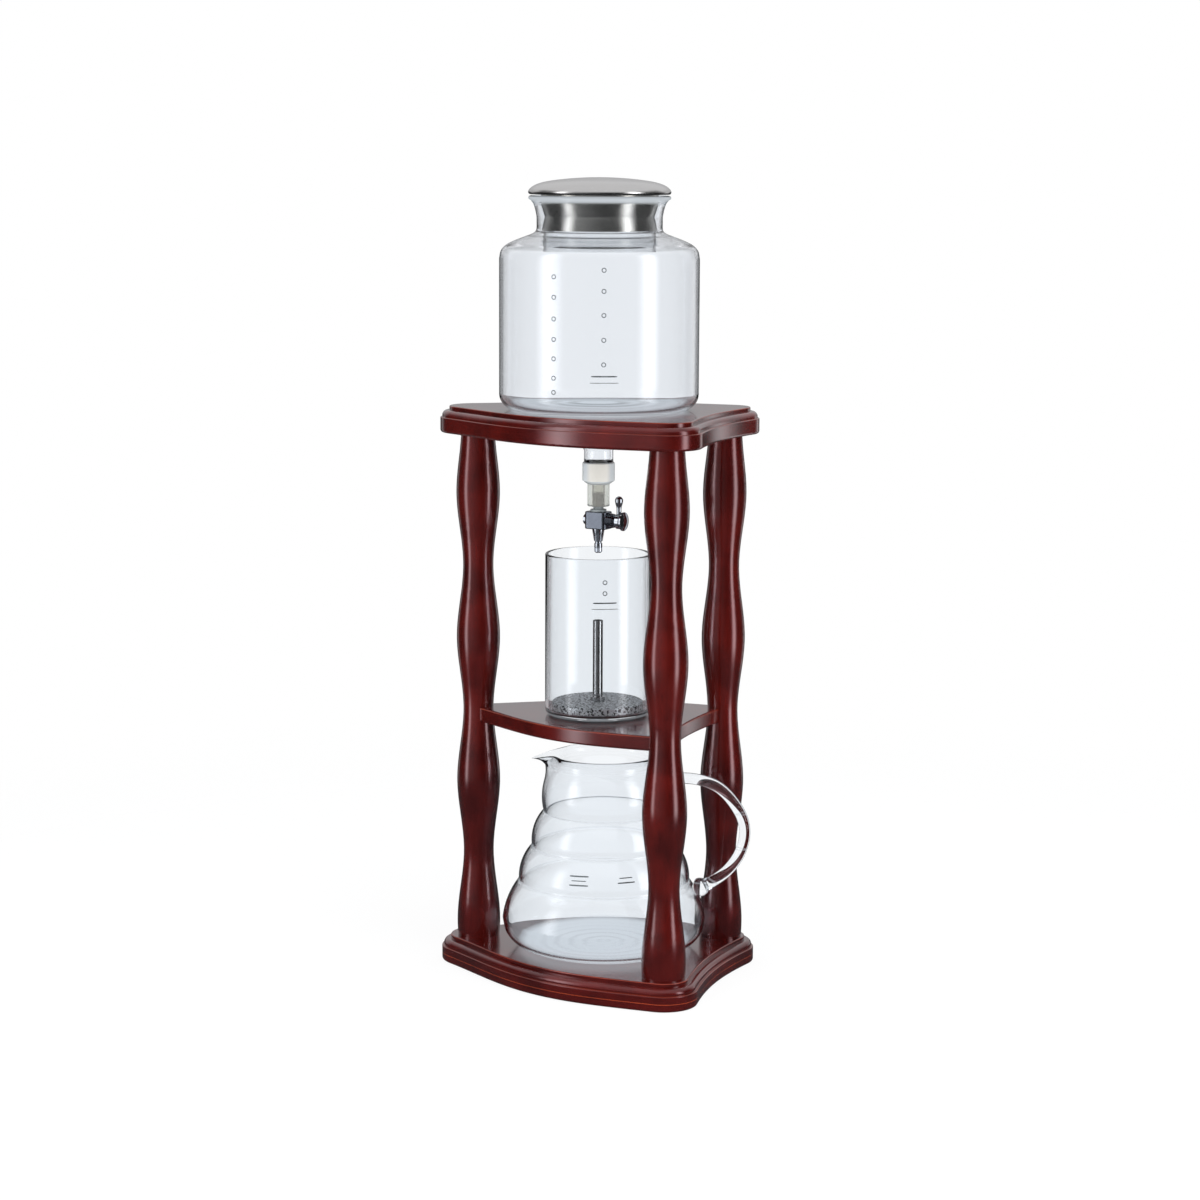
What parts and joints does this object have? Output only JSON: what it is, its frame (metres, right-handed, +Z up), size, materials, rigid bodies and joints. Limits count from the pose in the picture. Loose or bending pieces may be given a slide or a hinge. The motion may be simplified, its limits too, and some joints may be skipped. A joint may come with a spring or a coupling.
{
  "type": "cold drip coffee tower",
  "caption": "Wooden three-legged stand holding a lidded glass water jar with a drip cock, a glass strainer with a metal filter, and a glass server with a handle.",
  "frame": {"origin": "where the drip axis meets the base's underside", "axes": "+Z up along the drip axis, +X along the stand's plane of symmetry from the single leg towards the gap between the leg pair"},
  "size_m": [0.2148, 0.163, 0.5393],
  "materials": {
    "wood": "gloss lacquer",
    "dowel_wood": "raw",
    "screw_steel": "zinc plated",
    "insert_brass": "machined",
    "glass": "clear heatproof",
    "lid_steel": "polished stainless",
    "silicone": "translucent silicone",
    "stem_plastic": "moulded",
    "washer_plastic": "moulded",
    "cock_chrome": "plated",
    "filter_steel": "woven and spun stainless"
  },
  "bodies": {
    "stand": {"base_plate": "wood", "middle_shelf": "wood", "top_plate": "wood", "leg_left": "wood", "leg_front": "wood", "leg_back": "wood", "leg_screws": "screw_steel", "leg_inserts": "insert_brass", "leg_dowels": "dowel_wood", "shelf_dowels": "dowel_wood"},
    "water_jar": {"water_jar": "glass"},
    "lid": {"lid_dome": "lid_steel", "lid_collar": "lid_steel", "lid_seal": "silicone"},
    "drip_cock": {"silicone_joint": "silicone", "cock_stem": "stem_plastic", "cock_body": "cock_chrome", "cock_nozzle": "cock_chrome"},
    "cock_lever": {"cock_plug": "cock_chrome", "cock_hub": "cock_chrome", "cock_lever": "cock_chrome", "cock_cap": "cock_chrome", "cock_washer": "washer_plastic"},
    "strainer": {"strainer_glass": "glass"},
    "filter": {"filter_mesh": "filter_steel", "filter_support": "filter_steel", "filter_foot_ring": "filter_steel", "filter_tube": "filter_steel", "filter_nut": "filter_steel"},
    "server": {"server_glass": "glass", "server_handle": "glass"}
  },
  "joints": [
    {"name": "jar_lift", "type": "slide", "parent": "stand", "child": "water_jar", "axis": [0, 0, 1], "range_m": [0, 0.036]},
    {"name": "lid_lift", "type": "slide", "parent": "water_jar", "child": "lid", "axis": [0, 0, 1], "range_m": [0, 0.06]},
    {"name": "cock_pull", "type": "slide", "parent": "water_jar", "child": "drip_cock", "axis": [0, 0, -1], "range_m": [0, 0.02]},
    {"name": "cock_turn", "type": "hinge", "parent": "drip_cock", "child": "cock_lever", "pos_m": [0, 0, 0.3116], "axis": [0.9903, -0.1392, 0], "range_deg": [0, 90]},
    {"name": "strainer_lift", "type": "slide", "parent": "stand", "child": "strainer", "axis": [0, 0, 1], "range_m": [0, 0.022]},
    {"name": "filter_lift", "type": "slide", "parent": "strainer", "child": "filter", "axis": [0, 0, 1], "range_m": [0, 0.022]},
    {"name": "server_draw", "type": "slide", "parent": "stand", "child": "server", "axis": [-0.3919, -0.8962, 0.2079], "range_m": [0, 0.062]}
  ]
}
